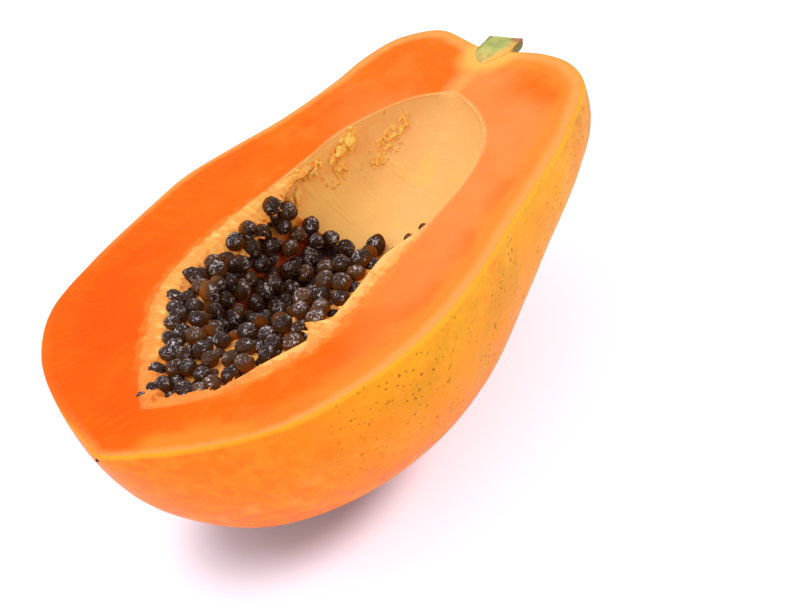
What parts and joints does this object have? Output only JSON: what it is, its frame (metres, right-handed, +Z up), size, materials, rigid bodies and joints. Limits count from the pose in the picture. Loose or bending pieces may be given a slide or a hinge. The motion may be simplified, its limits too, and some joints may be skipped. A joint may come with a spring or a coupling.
{
  "type": "papaya half",
  "caption": "Half of a ripe papaya, cut lengthwise: rounded skin below, level cut face with an open seed hollow lined with dark seeds, and a short stalk stub in the notch between its shoulders.",
  "frame": {"origin": "middle of the small flat spot that the half rests on", "axes": "+X from the blossom end to the stalk end, +Y towards the taller shoulder, +Z up out of the level cut face"},
  "size_m": [0.2302, 0.1495, 0.0799],
  "materials": {
    "flesh": "moist orange fruit flesh",
    "skin": "smooth waxy yellow-orange skin with small dark specks",
    "lining": "pale orange satin lining and torn pulp",
    "seed": "glossy dark seed in a clear wet coat",
    "stalk": "dry pale green cut stalk"
  },
  "bodies": {
    "root": {"papaya_half": "flesh", "seeds": "seed", "seed_loose_1": "seed", "seed_loose_2": "seed", "seed_loose_3": "seed", "seed_loose_4": "seed", "stalk": "stalk"}
  },
  "joints": []
}
